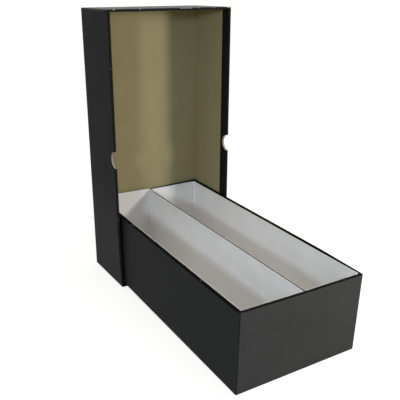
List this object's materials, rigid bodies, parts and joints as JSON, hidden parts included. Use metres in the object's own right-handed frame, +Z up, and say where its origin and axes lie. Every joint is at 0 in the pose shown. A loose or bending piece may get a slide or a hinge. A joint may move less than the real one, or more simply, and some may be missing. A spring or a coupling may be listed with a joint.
{
  "type": "slab storage box",
  "caption": "Long storage box for slabbed coins: tray with rows and a full-length divider, its lift-off lid stood on end at the back",
  "frame": {"origin": "on the floor, in the middle of the footprint of the tray and the lid together", "axes": "+X across the rows to the right, +Y along the rows towards the standing lid, +Z up"},
  "size_m": [0.1624, 0.3391, 0.3414],
  "materials": {
    "raw_board": "raw brown-grey board, matt, fine fibres",
    "black_paper": "black covering paper with a low satin sheen",
    "white_card": "white card, matt",
    "divider_board": "dark grey board, matt cut edge"
  },
  "bodies": {
    "tray": {"tray_board": "raw_board", "tray_wrap": "black_paper", "row_liner_left": "white_card", "row_liner_right": "white_card", "divider": "divider_board"},
    "lid": {"lid_board": "raw_board", "lid_wrap": "black_paper"}
  },
  "joints": [
    {"name": "lid_slide", "type": "slide", "parent": "tray", "child": "lid", "axis": [0, 1, 0], "range_m": [0, 0.1]}
  ]
}
